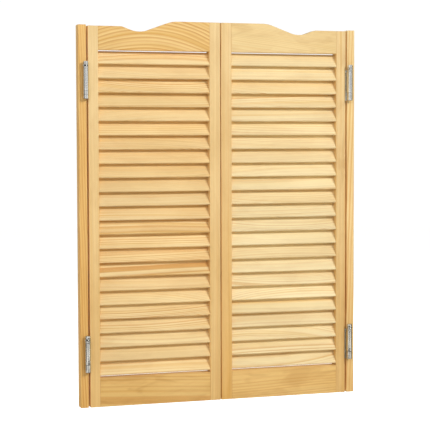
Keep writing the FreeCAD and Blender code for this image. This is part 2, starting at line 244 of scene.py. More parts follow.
def bare_pine(name, colours):
    """Planed, unfinished pine with growth rings, broad streaks and fibres."""
    material, wood = new_material(name)
    along, across, deep = wood.split(wood.attribute("grain"))
    knot_along, knot_across, knot_size = wood.split(wood.attribute("knot"))
    seed, arch, taper = wood.split(wood.attribute("figure"))
    light, warmth, contrast = wood.split(wood.attribute("tone"))

    def layer(name, sideways, *texture):
        """Noise of one layer, with its own place across the board."""
        parts = []
        for part, waves, share in zip((along, sideways, deep), *PINE_LAYERS[name]):
            parts.append(part * waves + seed * share if share else part * waves)
        return wood.noise(wood.join(*parts), *texture)

    # The grain swells round a knot, which reaches further along the board than across it.
    off_along = (along - knot_along) * 0.45
    off_across = across - knot_across
    knot_reach = (off_along * off_along + off_across * off_across).root() / knot_size
    swell = knot_size * 2.2 / (1 + knot_reach * knot_reach)
    wander = (layer("wander", across, 2.0) - 0.5) * 0.011
    bowed = across + along * taper + along * along * arch + wander + swell

    # Each ring darkens outwards to its own strength and ends sharply.
    count = (bowed * bowed + deep * deep).root() / wood.attribute("ring_width", "Fac")
    ring_part = count.fraction()
    latewood = wood.rise(ring_part, 0.3, 0.88) * (1 - wood.rise(ring_part, 0.93, 1.0))
    ring_seed = {"W": count.whole() + seed}
    ring_strength = wood.node("ShaderNodeTexWhiteNoise", {"noise_dimensions": "1D"}, ring_seed)
    latewood = latewood * (ring_strength * 0.7 + 0.3) * contrast

    streak = wood.rise(layer("streak", bowed, 3.0, 0.55), 0.44, 0.78) * contrast
    mottle = wood.rise(layer("mottle", across, 2.0, 0.55, 0.6), 0.42, 0.72)
    band = layer("band", bowed, 1.0)
    patch = layer("patch", across, 1.0) - 0.5
    fibre = layer("fibre", across, 2.0, 0.6)
    dash = wood.rise(layer("dash", across, 1.0), 0.68, 0.78)

    pale, late, streaked, brown = (linear(colour) for colour in colours)
    colour = wood.mix(latewood * 0.85, pale, late)
    colour = wood.mix(streak * 0.66, colour, streaked)
    colour = wood.mix(mottle * wood.attribute("mottle", "Fac"), colour, brown)
    colour = wood.mix(dash * 0.3, colour, late)
    core = 1 - wood.rise(knot_reach, 0.5, 1.1)
    end_grain = wood.attribute("end_grain", "Fac")
    colour = wood.mix((end_grain * 0.35).larger(core * 0.3), colour, brown)

    # Warmth takes some red away, more green and most of the blue.
    # Painted shade along a slat's upper edge, where the next slat hangs over it: darker and warmer.
    slat_shade_band = wood.rise(wood.attribute("hood", "Fac"), 0.8, 0.96)
    level = light * (fibre * 0.12 + 0.87 + band * 0.14) * (1 - patch * 0.16) * (1 - slat_shade_band * 0.16)
    toned = warmth + patch * 0.6 + slat_shade_band * 0.6
    wood.coat(
        {
            "Base Color": wood.tint(colour, *(level * (1 - toned * share) for share in TONING)),
            "Roughness": 0.62 - latewood * 0.12 + fibre * 0.08,
            "Specular IOR Level": 0.35,
            "Normal": wood.bump(fibre * 0.6 + latewood * 0.5 - dash * 0.5, 0.00022, 0.55),
        }
    )
    return material


def beech_rod(name, colours):
    """Turned beech with short pores along the rod."""
    material, wood = new_material(name)
    place = wood.place()
    pores = wood.rise(wood.grit(place, (260.0, 1800.0, 1800.0), 1.0), 0.6, 0.7)
    rings = wood.grit(place, (6.0, 500.0, 500.0), 2.0)
    pale, ringed, pored = (linear(colour) for colour in colours)
    colour = wood.mix(pores * 0.6, wood.mix(rings, pale, ringed), pored)
    normal = wood.bump(rings - pores, 0.0001, 0.5)
    wood.coat({"Base Color": colour, "Roughness": pores * 0.1 + 0.55, "Normal": normal})
    return material


def zinc_plated(name, colours, roughness, brushed):
    """Bright zinc on pressed steel: cloudy crystals, rolling marks, dulled patches, and near-black painted shade
    on barrel rims and in sunk holes.
    """
    material, metal = new_material(name)
    x, y, z = place = metal.place()
    cloud = metal.grit(place, (55.0, 55.0, 40.0), 3.0)
    dull = metal.rise(metal.grit(place, (24.0, 24.0, 16.0), 2.0), 0.6, 0.8)
    # Below half a metre, the plating is made dull and darker all over.
    dull = dull.larger(1 - metal.rise(z, 0.15, 0.5))
    marks = metal.grit(place, (1400.0, 1400.0, 45.0), 2.0, 0.6)
    slanting = metal.join(x * 300.0 + z * 210.0, y * 300.0, z * 34.0)
    scratch = metal.rise(metal.noise(slanting, 1.0), 0.7, 0.74)
    # Painted shade: end rims and sunk holes go near-black and rougher.
    metal_shade = metal.attribute("metal_shade", "Fac")
    bright, cloudy, dulled = (linear(colour) for colour in colours)
    colour = metal.mix(dull * 0.5, metal.mix(cloud, bright, cloudy), dulled)
    rough = dull * 0.1 + roughness + (marks - 0.5) * 0.08 + scratch * 0.08 + metal_shade * 0.3
    metal.coat(
        {
            "Base Color": metal.mix(metal_shade, colour, SHADE_BLACK),
            "Metallic": 1.0,
            "Roughness": rough,
            "Normal": metal.bump(marks * (0.4 + brushed) - scratch * 0.5, 0.000006, 0.5),
        }
    )
    return material


def oiled_spring(name, colours):
    """Dark drawn wire under a film of oil."""
    material, metal = new_material(name)
    place = metal.place()
    film = metal.rise(metal.grit(place, (160.0, 160.0, 160.0), 2.0), 0.4, 0.65)
    drawn = metal.grit(place, (900.0, 900.0, 900.0), 1.0)
    metal.coat(
        {
            "Base Color": metal.mix(film, *(linear(colour) for colour in colours)),
            "Metallic": 1.0,
            "Roughness": film * 0.2 + 0.3,
            "Normal": metal.bump(drawn, 0.00004, 0.5),
        }
    )
    return material


def make_finishes(colours):
    """Every slot's material."""
    for board in ("strip", "stile", "rail", "slat"):
        slot = "pine_" + board
        shades = (getattr(colours, board), colours.latewood, colours.streak, colours.brown)
        MATERIALS[slot] = bare_pine(slot, shades)
    MATERIALS["beech_dowel"] = beech_rod("beech_dowel", BEECH)
    zinc = (colours.zinc, colours.zinc_cloud, colours.zinc_dull)
    MATERIALS["zinc_plate"] = zinc_plated("zinc_plate", zinc, roughness=0.24, brushed=0.0)
    MATERIALS["zinc_barrel"] = zinc_plated("zinc_barrel", zinc, roughness=0.16, brushed=0.3)
    MATERIALS["screw_steel"] = zinc_plated("screw_steel", zinc, roughness=0.34, brushed=0.6)
    MATERIALS["spring_steel"] = oiled_spring("spring_steel", OILED_STEEL)


# ---- Modelling helpers ----
def select_only(*pieces):
    """Select these pieces, the last one active."""
    bpy.ops.object.select_all(action="DESELECT")
    for piece in pieces:
        piece.select_set(True)
        bpy.context.view_layer.objects.active = piece


def edit():
    """Enter edit mode."""
    bpy.ops.object.mode_set(mode="EDIT")


def leave():
    """Go back to object mode."""
    bpy.ops.object.mode_set(mode="OBJECT")


def settle(piece):
    """Put the piece's place, turn and scale into its mesh."""
    select_only(piece)
    bpy.ops.object.transform_apply(location=True, rotation=True, scale=True)


def add(primitive, name, stretch=None, **settings):
    """Add a primitive, stretch it and settle it."""
    bpy.ops.object.select_all(action="DESELECT")
    primitive(**settings)
    piece = bpy.context.object
    piece.name = name
    if stretch:
        piece.scale = stretch
    settle(piece)
    return piece


def block(name, low, high):
    """Board blank that fills the box between two corners."""
    low, high = Vector(low), Vector(high)
    cube = bpy.ops.mesh.primitive_cube_add
    return add(cube, name, size=1.0, location=(low + high) / 2, scale=high - low)


def rod(name, radius, start, end, sides=32, end_radius=None):
    """Round bar or taper from start to end."""
    start, end = Vector(start), Vector(end)
    way = end - start
    return add(
        bpy.ops.mesh.primitive_cone_add,
        name,
        vertices=sides,
        radius1=radius,
        radius2=radius if end_radius is None else end_radius,
        depth=way.length,
        location=(start + end) / 2,
        rotation=Z_AXIS.rotation_difference(way).to_euler(),
    )


def apply_modifier(piece, kind, **settings):
    """Add a modifier with these settings and apply it."""
    select_only(piece)
    modifier = piece.modifiers.new(kind.lower(), kind)
    for key, value in settings.items():
        setattr(modifier, key, value)
    bpy.ops.object.modifier_apply(modifier=modifier.name)


def ease(piece, width, segments=3, angle=40):
    """Round the sharp edges."""
    apply_modifier(
        piece,
        "BEVEL",
        width=width,
        segments=segments,
        limit_method="ANGLE",
        angle_limit=math.radians(angle),
        use_clamp_overlap=True,
    )


def merge(name, pieces):
    """Join pieces into one object."""
    select_only(*pieces)
    if len(pieces) > 1:
        bpy.ops.object.join()
    joined = bpy.context.object
    joined.name = name
    return joined


def combine(piece, other, operation):
    """Take the other shape out of the piece, or unite it with the piece."""
    apply_modifier(piece, "BOOLEAN", operation=operation, solver="EXACT", object=other)


def cut(piece, cutter):
    """Take the cutter's shape out of the piece."""
    combine(piece, cutter, "DIFFERENCE")


def discard(*pieces):
    """Remove helper shapes."""
    for piece in pieces:
        bpy.data.objects.remove(piece, do_unlink=True)


def copy_of(piece, name):
    """Copy with its own mesh."""
    select_only(piece)
    bpy.ops.object.duplicate(linked=False)
    made = bpy.context.object
    made.name = name
    return made


def smooth(piece, angle=35):
    """Smooth shading across shallow angles."""
    select_only(piece)
    bpy.ops.object.shade_smooth_by_angle(angle=math.radians(angle))


def store(mesh, name, values, domain="POINT"):
    """Store numbers or vectors on the mesh for its material."""
    values = np.asarray(values, np.float32)
    kind, field = ("FLOAT_VECTOR", "vector") if values.ndim == 2 else ("FLOAT", "value")
    mesh.attributes.new(name, kind, domain).data.foreach_set(field, values.ravel())


# How the painted warm shade grows towards the doors' bottom edges.
LOW_SHADE_POWER = 0.75
END_TILT = 0.7
FLANK_DEPTH = 0.4 * MILLIMETRE


def lay_grain(piece, along, across, middle, board):
    """Place the board in its tree: grain along it, rings round the pith, and its own tone, with painted light on
    its sides and painted shade low down and under the next slat.
    """
    mesh = piece.data
    count = len(mesh.vertices)
    corners = np.empty(count * 3, np.float32)
    mesh.vertices.foreach_get("co", corners)
    corners = corners.reshape(-1, 3)
    places = corners - np.array(middle, np.float32)
    pith = board["pith"]
    turned = places @ np.array([along, across, along.cross(across)], np.float32).T
    turned += np.array([board["shift"], *pith], np.float32)
    store(mesh, "grain", turned)

    tone = np.empty((count, 3), np.float32)
    tone[:] = (board["light"], board["warmth"], board["contrast"])
    # Painted light: the side faces are made lighter, standing in for light falling on them.
    side_faces = abs(places[:, 0]) > np.ptp(places[:, 0]) / 2 - FLANK_DEPTH
    tone[side_faces, 0] *= board["flank_light"]
    # Painted shade: warmer, and so darker, towards the doors' bottom edges.
    drop = np.clip(1 - corners[:, 2] / FRAME_BOX[1].z, 0, 1)
    tone[:, 1] += board["fade"] * drop**LOW_SHADE_POWER
    store(mesh, "tone", tone)

    # Painted shade: marks the upper part of the front, where the next slat hangs over it.
    fronts = turned[:, 2] > pith[1]
    heights = turned[:, 1] - turned[:, 1].min()
    store(mesh, "hood", heights / heights.max() * fronts * board["hood"])

    knot_place = Vector(board["knot"]) - Vector(middle) if board["knot_size"] else Vector()
    knot_along = knot_place.dot(along) + board["shift"]
    knot = (knot_along, knot_place.dot(across) + pith[0], max(board["knot_size"], NEAR))
    store(mesh, "knot", [knot] * count)
    store(mesh, "figure", [(board["seed"], board["arch"], board["taper"])] * count)
    for name in ("ring_width", "mottle"):
        store(mesh, name, [board[name]] * count)
    ends = [float(abs(face.normal.dot(along)) > END_TILT) for face in mesh.polygons]
    store(mesh, "end_grain", ends, "FACE")


def finish(piece, body, slot, *nodes):
    """Dress the piece, let it ride on its body and stand for its nodes."""
    piece.data.materials.clear()
    piece.data.materials.append(MATERIALS[slot])
    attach(piece, body)
    if nodes:
        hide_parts(*nodes)


def box_middle(node):
    """Middle of a node's box."""
    low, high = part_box(node)
    return (low + high) / 2


# ---- What a user may change ----
def length_property(name, description, millimetres):
    """Length in the scene's unit, given in millimetres."""
    return bpy.props.FloatProperty(
        name=name,
        description=description,
        default=millimetres * MILLIMETRE,
        unit="LENGTH",
        subtype="DISTANCE",
        precision=5,
    )


def angle_property(name, description, degrees):
    """Angle, given in degrees."""
    return bpy.props.FloatProperty(
        name=name, description=description, default=math.radians(degrees), subtype="ANGLE"
    )


def count_property(name, description, default, least):
    """Whole number."""
    return bpy.props.IntProperty(name=name, description=description, default=default, min=least)


def colour_property(name, description, default):
    """Colour as it shows on a screen."""
    return bpy.props.FloatVectorProperty(
        name=name, description=description, default=default, subtype="COLOR_GAMMA", min=0, max=1
    )


class CafeDoorSizes(bpy.types.PropertyGroup):
    """Sizes of the doors' finer details."""

    edge_ease: length_property("Eased edge", "Radius on the edges of strips, stiles and rails", 0.9)
    slat_count: count_property("Slats", "Slats in one door", 23, 2)
    slat_thickness: length_property("Slat thickness", "Thickness of one slat", 6.0)
    slat_lean: angle_property("Slat lean", "How far the slats lean back at the top", 33)
    slat_round: length_property("Slat edge radius", "Radius on the slats' long edges", 1.0)
    slot_clearance: length_property("Slot clearance", "Room round a slat in the stiles' slots", 0.22)
    slat_wobble: angle_property(
        "Slat wobble", "How far single slats stand off the common lean", 0.3
    )
    rail_columns: count_property("Scallop steps", "Divisions along the scalloped edge", 160, 8)
    dowel_radius: length_property("Dowel hole radius", "Radius of the holes for the dowels", 4.05)


class CafeDoorHingeSizes(bpy.types.PropertyGroup):
    """Sizes inside a hinge that its boxes in the frame don't give."""

    sheet_thickness: length_property("Sheet", "Thickness of the pressed steel", 1.5)
    leaf_half_width: length_property("Half leaf", "From a leaf's middle to its edge", 14.9)
    lower_knuckle: length_property("Lower knuckle", "Height of the leaf's lower knuckle", 21.7)
    upper_knuckle: length_property("Upper knuckle", "Height of the leaf's upper knuckle", 4.5)
    stack_clearance: length_property("Stack clearance", "Room between turning pieces", 0.5)
    tube_floor: length_property("Tube floor", "Thickness of a spring tube's floor", 2.0)
    collar_tail: length_property("Collar tail", "Radius of the collar's tail", 4.0)
    spring_wire: length_property("Spring wire", "Radius of the spring's wire", 0.6)
    spring_pitch: length_property("Spring pitch", "Rise of one turn of the spring", 4.0)
    tommy_hole: length_property("Tommy-bar hole", "Radius of the collar's open holes", 2.0)
    screw_margin: length_property("Screw margin", "From a leaf's end to its first screw", 11.0)
    screw_stagger: length_property("Screw stagger", "From the leaf's middle to a screw", 7.5)
    curl_turn: angle_property("Curl", "How far an edge is rolled round its axis", 318)


class CafeDoorColours(bpy.types.PropertyGroup):
    """Colours of wood and metal, as they show on a screen."""

    strip: colour_property("Strip pine", "Pale wood of the jamb strips", (0.945, 0.815, 0.570))
    stile: colour_property("Stile pine", "Pale wood of the stiles", (0.965, 0.860, 0.645))
    rail: colour_property("Rail pine", "Pale wood of the rails", (0.970, 0.862, 0.635))
    slat: colour_property("Slat pine", "Pale wood of the slats", (0.970, 0.872, 0.660))
    latewood: colour_property("Latewood", "Dark part of a growth ring", (0.830, 0.590, 0.300))
    streak: colour_property("Streaks", "Orange streaks of heartwood", (0.902, 0.730, 0.420))
    brown: colour_property("Brown figure", "Wavy figure and end grain", (0.745, 0.530, 0.290))
    zinc: colour_property("Zinc", "Bright plating", (0.93, 0.93, 0.91))
    zinc_cloud: colour_property("Zinc crystals", "Cloudy part of the plating", (0.87, 0.87, 0.85))
    zinc_dull: colour_property("Dulled zinc", "Handled and dulled plating", (0.74, 0.72, 0.66))


# ---- How each board was cut and toned ----
def board_look(pith, seed, light, warmth, contrast, ring_width, **more):
    """One board: its pith's place across and behind it, its seed, its tone, and its figure."""
    look = {
        "pith": pith,
        "seed": seed,
        "light": light,
        "warmth": warmth,
        "contrast": contrast,
        "ring_width": ring_width,
        "arch": 0.0,  # bow of the rings along the board, per metre
        "taper": 0.0,  # slope of the rings along the board
        "shift": 0.0,  # moves the figure along the board
        "fade": 0.0,  # painted warm shade: added warmth that grows towards the doors' bottom edges
        "flank_light": 1.0,  # painted light on the side faces
        "hood": 0.0,  # painted shade along the upper edge of the front, under the next slat
        "mottle": 0.1,  # share of the wavy brown figure
        "knot": (0, 0, 0),
        "knot_size": 0.0,
    }
    look.update(more)
    return look


# Upright boards: pith, seed, light, warmth, contrast and ring width, then what is their own.
UPRIGHT = {
    "left_jamb_strip": board_look(
        (0.03, 0.0165), 5.3, 1.03, 0.75, 0.9, 0.0068, taper=0.03, fade=0.45, flank_light=1.08
    ),
    "right_jamb_strip": board_look(
        (0.03, 0.0165), 14.1, 1.01, -0.8, 0.8, 0.0096, taper=-0.034, fade=1.5, flank_light=1.08
    ),
    "left_hinge_stile": board_look(
        (0.05, 0.03), 21.7, 1.015, -0.1, 0.7, 0.0024, taper=0.006, fade=1.1, flank_light=1.08
    ),
    "left_meeting_stile": board_look(
        (-0.08, 0.02), 33.9, 0.975, 0.0, 0.7, 0.0021, taper=-0.004, fade=1.0, flank_light=1.08
    ),
    "right_meeting_stile": board_look(
        (0.07, 0.03), 47.2, 0.985, -0.1, 0.85, 0.0024, taper=0.003, fade=1.55, flank_light=1.08
    ),
    "right_hinge_stile": board_look(
        (-0.05, 0.04), 58.8, 0.94, 0.0, 0.9, 0.0036, taper=-0.007, fade=1.05, flank_light=1.08,
        mottle=0.25, knot=(0.3755, 0, 0.668), knot_size=0.009,
    ),
}
# Rails, with the same numbers in the same order.
RAILS = {
    "left_top_rail": board_look(
        (0.205, 0.02), 3.3, 0.975, 0.68, 1.1, 0.0098, arch=1.3, shift=0.025
    ),
    "right_top_rail": board_look(
        (0.06, 0.03), 66.4, 0.94, 0.05, 0.32, 0.0034, taper=0.12, mottle=0.22
    ),
    "left_bottom_rail": board_look(
        (0.03, 0.02), 77.5, 0.93, 1.15, 0.6, 0.0075, taper=0.05, mottle=0.34
    ),
    "right_bottom_rail": board_look(
        (-0.04, 0.025), 83.6, 0.965, 1.1, 0.5, 0.006, taper=-0.04, mottle=0.26
    ),
}


# How slats are sawn: the draw that each kind ends below, its pith's place across and behind,
# its ring width, and its share of the contrast.
SLAT_CUTS = (
    (0.45, (-0.03, 0.03), (0.02, 0.07), (0.0022, 0.0042), 1.0),
    (0.8, (0.05, 0.14), (0.01, 0.03), (0.0018, 0.0034), 1.0),
    (1.0, (0.02, 0.05), (0.005, 0.02), (0.005, 0.009), 0.55),
)
# Light, warmth and contrast of each door's slats.
SLAT_TONES = {"left": (0.99, 0.05, 1.0), "right": (0.96, -0.62, 0.75)}


def slat_look(draws, side, level):
    """Every slat is cut from another place in the tree; level goes from 0 to 1 up the door."""
    light, warmth, contrast = SLAT_TONES[side]
    kind = draws.random()
    for limit, across, behind, ring_widths, share in SLAT_CUTS:
        if kind < limit:
            break
    return board_look(
        (draws.uniform(*across), draws.uniform(*behind)),
        ring_width=draws.uniform(*ring_widths),
        seed=draws.uniform(0, 90),
        light=draws.uniform(0.96, 1.05) * light,
        # Painted warm shade: the lower slats are made warmer, and so darker.
        warmth=draws.uniform(-0.22, 0.22) + 0.1 * (1 - level) + warmth,
        contrast=draws.uniform(0.5, 1.2) * (contrast * share),
        taper=draws.gauss(0, 0.022),
        arch=draws.gauss(0, 0.25),
        shift=draws.uniform(-0.1, 0.1),
        hood=1.0,
    )


# ---- Louvre ----
class Louvre:
    """Places and sections of one door's slats, taken from the frame."""

    def __init__(self, side, sizes):
        self.node = f"{side}_louvre_slats"
        low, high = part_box(self.node)
        self.lean = sizes.slat_lean
        self.round = sizes.slat_round
        self.thickness = sizes.slat_thickness
        self.thin = self.thickness - 2 * self.round
        self.x = (low.x, high.x)
        pitch = (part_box(f"{side}_top_rail")[0].z - low.z) / sizes.slat_count
        flat_depth = high.y - low.y - 2 * self.round - self.thin * math.cos(self.lean)
        full_height = self.section_height(flat_depth / math.sin(self.lean) + 2 * self.round)
        self.rows = []
        for row in range(sizes.slat_count):
            row_low = low.z + row * pitch
            height = min(full_height, high.z - row_low)
            width = self.width_for(height)
            y = low.y + self.section_depth(width) / 2
            self.rows.append((width, Vector((sum(self.x) / 2, y, row_low + height / 2))))
        draws = random.Random(11 if side == "left" else 12)
        self.wobbles = [draws.uniform(-1, 1) * sizes.slat_wobble for _ in self.rows]

    def section_height(self, width):
        """Height of a leaning slat."""
        straight = width - 2 * self.round
        return straight * math.cos(self.lean) + self.thin * math.sin(self.lean) + 2 * self.round

    def section_depth(self, width):
        """Depth of a leaning slat."""
        straight = width - 2 * self.round
        return straight * math.sin(self.lean) + self.thin * math.cos(self.lean) + 2 * self.round

    def width_for(self, height):
        """Width of a leaning slat of that height."""
        straight = height - 2 * self.round - self.thin * math.sin(self.lean)
        return straight / math.cos(self.lean) + 2 * self.round

    def blank(self, name, width, x0, x1, growth):
        """Upright slat with rounded edges, centred on the X axis."""
        half_thick = self.thickness / 2 + growth
        half_width = width / 2 + growth
        piece = block(name, (x0, -half_thick, -half_width), (x1, half_thick, half_width))
        ease(piece, self.round + growth, 4)
        return piece

    def set_in_place(self, piece, row):
        """Lean an upright slat and move it to its row."""
        middle = self.rows[row][1]
        select_only(piece)
        piece.rotation_euler = (-self.lean + self.wobbles[row], 0, 0)
        piece.location = (0, middle.y, middle.z)
        settle(piece)

    def cutter(self, clearance):
        """Cutter for the slots of all slats."""
        pieces = []
        for row, (width, _) in enumerate(self.rows):
            ends = (self.x[0] - clearance, self.x[1] + clearance)
            piece = self.blank("slot", width, *ends, clearance)
            self.set_in_place(piece, row)
            pieces.append(piece)
        return merge("slots", pieces)


def make_slats(side, sizes):
    """Slats of one door, each its own board."""
    louvre = Louvre(side, sizes)
    draws = random.Random(71 if side == "left" else 72)
    across = Vector((0, math.sin(louvre.lean), math.cos(louvre.lean)))
    full_width = louvre.rows[0][0]
    full = louvre.blank("slat", full_width, *louvre.x, 0)
    for row, (width, middle) in enumerate(louvre.rows):
        name = f"{side}_slat_{row + 1:02d}"
        if math.isclose(width, full_width, abs_tol=0.01 * MILLIMETRE):
            piece = copy_of(full, name)
        else:
            piece = louvre.blank(name, width, *louvre.x, 0)
        louvre.set_in_place(piece, row)
        look = slat_look(draws, side, row / (len(louvre.rows) - 1))
        lay_grain(piece, X_AXIS, across, middle, look)
        smooth(piece)
        finish(piece, f"{side}_door", "pine_slat", louvre.node)
    discard(full)


# ---- Strips, stiles and rails ----
DOWEL_CLEARANCE = 0.05 * MILLIMETRE
DOWEL_REACH = 19 * MILLIMETRE
STRIP_HOLES = 4
STRIP_HOLE_MARGIN = 50 * MILLIMETRE
STRIP_HOLE_RADIUS = 2.6 * MILLIMETRE
STRIP_SINK_RADIUS = 5.4 * MILLIMETRE
STRIP_SINK_DEPTH = 3.2 * MILLIMETRE


def dowel_cutter(side, sizes):
    """Cutter for the dowel holes of one door."""
    rail_low, rail_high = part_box(f"{side}_bottom_rail")
    dowels_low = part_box(f"{side}_rail_dowels")[0].z
    margin = dowels_low - rail_low.z + sizes.dowel_radius - DOWEL_CLEARANCE
    top_rail_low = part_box(f"{side}_top_rail")[0].z
    stile_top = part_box(f"{side}_hinge_stile")[1].z
    heights = (margin, rail_high.z - margin, top_rail_low + margin, stile_top - margin)
    rods = []
    for joint_x in (rail_low.x, rail_high.x):
        for z in heights:
            start, end = (joint_x - DOWEL_REACH, 0, z), (joint_x + DOWEL_REACH, 0, z)
            rods.append(rod("dowel_hole", sizes.dowel_radius, start, end, 24))
    return merge("dowel_holes", rods)


def strip_hole_cutters(side):
    """Cutters for the bores and the countersinks of the strip's screw holes."""
    low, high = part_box(f"{side}_jamb_strip")
    sign = SIDES[side]
    outer_x = max(low.x, high.x, key=abs)
    inner_x = min(low.x, high.x, key=abs)
    bores, sinks = [], []
    first, last = STRIP_HOLE_MARGIN, high.z - STRIP_HOLE_MARGIN
    for step in range(STRIP_HOLES):
        z = first + (last - first) * step / (STRIP_HOLES - 1)
        outside, inside = outer_x + sign * MILLIMETRE, inner_x - sign * MILLIMETRE
        bores.append(rod("bore", STRIP_HOLE_RADIUS, (outside, 0, z), (inside, 0, z)))
        bottom = (inner_x + sign * STRIP_SINK_DEPTH, 0, z)
        mouth = (inner_x - sign * 0.5 * MILLIMETRE, 0, z)
        sinks.append(rod("sink", STRIP_HOLE_RADIUS, bottom, mouth, 32, STRIP_SINK_RADIUS))
    return [merge("bores", bores), merge("sinks", sinks)]


def upright_board(node, cutters, sizes):
    """Strip or stile: a planed blank with eased edges and its housings."""
    piece = block(node + "_board", *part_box(node))
    ease(piece, sizes.edge_ease)
    for cutter in cutters:
        cut(piece, cutter)
    lay_grain(piece, Z_AXIS, X_AXIS, box_middle(node), UPRIGHT[node])
    smooth(piece)
    return piece


def make_strips(sizes):
    """Strips that are screwed to the door frame."""
    for side in SIDES:
        cutters = strip_hole_cutters(side)
        node = f"{side}_jamb_strip"
        piece = upright_board(node, cutters, sizes)
        discard(*cutters)
        finish(piece, "root", "pine_strip", node)


def make_stiles(sizes):
    """Stiles with slots for the slats and holes for the dowels."""
    for side in SIDES:
        cutters = (Louvre(side, sizes).cutter(sizes.slot_clearance), dowel_cutter(side, sizes))
        for part in ("hinge_stile", "meeting_stile"):
            node = f"{side}_{part}"
            finish(upright_board(node, cutters, sizes), f"{side}_door", "pine_stile", node)
        discard(*cutters)


def pick_vertices(mesh, indices):
    """Select these vertices and nothing else, from object mode."""
    for parts in (mesh.polygons, mesh.edges, mesh.vertices):
        parts.foreach_set("select", [False] * len(parts))
    for index in indices:
        mesh.vertices[index].select = True


def shape_scallop(piece, node, low, high, columns):
    """Divide the blank into columns and lower each to the scallop's edge."""
    select_only(piece)
    edit()
    bpy.ops.mesh.select_all(action="DESELECT")
    bpy.ops.mesh.select_mode(type="EDGE")
    leave()
    mesh = piece.data
    for edge in mesh.edges:
        first, second = (mesh.vertices[index].co for index in edge.vertices)
        edge.select = abs(first.x - second.x) > abs(high.x - low.x) / 2
    edit()
    bpy.ops.mesh.subdivide(number_cuts=columns - 1)
    bpy.ops.mesh.select_mode(type="VERT")
    leave()
    edge_inset = 0.01 * MILLIMETRE
    tops = {}
    for vertex in mesh.vertices:
        if vertex.co.z > high.z - edge_inset:
            tops.setdefault(round(vertex.co.x, 6), []).append(vertex.index)
    for x, indices in tops.items():
        start = Vector((min(max(x, low.x + edge_inset), high.x - edge_inset), 0, high.z + 1))
        hit, place, _, _ = frame["nodes"][node].ray_cast(start, -Z_AXIS)
        drop = place.z - high.z
        if not hit or drop > -edge_inset:
            continue
        pick_vertices(mesh, indices)
        edit()
        bpy.ops.transform.translate(value=(0, 0, drop))
        leave()


def make_rails(sizes):
    """Top rails with their scallop, and plain bottom rails."""
    for node, look in RAILS.items():
        side = node.partition("_")[0]
        low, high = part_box(node)
        piece = block(node + "_board", low, high)
        if "top" in node:
            shape_scallop(piece, node, low, high, sizes.rail_columns)
        ease(piece, sizes.edge_ease)
        dowels = dowel_cutter(side, sizes)
        cut(piece, dowels)
        discard(dowels)
        lay_grain(piece, X_AXIS, Z_AXIS, box_middle(node), look)
        smooth(piece)
        finish(piece, f"{side}_door", "pine_rail", node)


# ---- Hinges ----
STEM_RADIUS = 2.5 * MILLIMETRE
BEARING_RADIUS = 2.55 * MILLIMETRE
PLUG_HEIGHT = 10.7 * MILLIMETRE
DOME_WIDTH = 1.6 * MILLIMETRE
PIN_HOLE_RADIUS = 1.15 * MILLIMETRE
PIN_DEPTH = 3 * MILLIMETRE
LEAF_SCREWS = 4
SCREW_BORE_RADIUS = 1.65 * MILLIMETRE
SCREW_SINK_RADIUS = 3.42 * MILLIMETRE
ARM_BEND = 4 * MILLIMETRE
ARM_START = 0.7 * MILLIMETRE
GROOVE_DEPTH = 0.3 * MILLIMETRE
GROOVE_HALF_WIDTH = 0.2 * MILLIMETRE
SPRING_CLEARANCE = 0.2 * MILLIMETRE
COIL_STEPS = 20
RIM_TILT = 0.35
# Share of the painted shade on a barrel's end rims.
RIM_SHADE = 0.75


class Hinge:
    """Places in the left-hand upper hinge, from which the others are copied."""

    def __init__(self, sizes):
        joints = {joint["name"]: Vector(joint["pos_m"]) for joint in frame["joints"]}
        leaf_low, leaf_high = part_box("left_upper_jamb_leaf")
        spindle_low, spindle_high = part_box("left_upper_front_spindle")
        collar_low, collar_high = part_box("left_upper_front_collar")
        self.front = joints["left_front_swing"]
        self.back = joints["left_back_swing"]
        self.middle_x = (self.front.x + self.back.x) / 2
        self.base = leaf_low.z
        self.leaf_top = leaf_high.z
        self.half_width = sizes.leaf_half_width
        self.thickness = sizes.sheet_thickness
        self.radius = (spindle_high.x - spindle_low.x) / 2
        self.curl_radius = self.radius - self.thickness / 2
        self.bore = self.radius - self.thickness
        self.knuckle_top = self.base + sizes.lower_knuckle
        self.tube_low = self.knuckle_top + sizes.stack_clearance
        self.upper_knuckle = self.leaf_top - sizes.upper_knuckle
        self.tube_high = self.upper_knuckle - sizes.stack_clearance
        self.collar_low = self.leaf_top + sizes.stack_clearance
        self.collar_high = collar_high.z
        self.tail_low = collar_low.z
        self.cap_low = collar_high.z + sizes.stack_clearance
        self.cap_high = spindle_high.z
        self.jamb_leaf_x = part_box("left_jamb_strip")[1].x + self.thickness / 2


def face_outwards(piece):
    """Merge doubled points and point every face outwards."""
    select_only(piece)
    edit()
    bpy.ops.mesh.select_all(action="SELECT")
    bpy.ops.mesh.remove_doubles(threshold=2 * NEAR)
    bpy.ops.mesh.normals_make_consistent(inside=False)
    bpy.ops.mesh.select_all(action="DESELECT")
    leave()


def edit_edges(piece, test, whole=False):
    """Enter edit mode with the edges selected whose ends, and if whole their middles, pass."""
    select_only(piece)
    bpy.context.tool_settings.mesh_select_mode = (False, True, False)
    mesh = piece.data
    pick_vertices(mesh, ())
    for edge in mesh.edges:
        ends = [mesh.vertices[index] for index in edge.vertices]
        places = [end.co for end in ends]
        if whole:
            places.append((places[0] + places[1]) / 2)
        if all(test(place) for place in places):
            edge.select = True
            for end in ends:
                end.select = True
    edit()


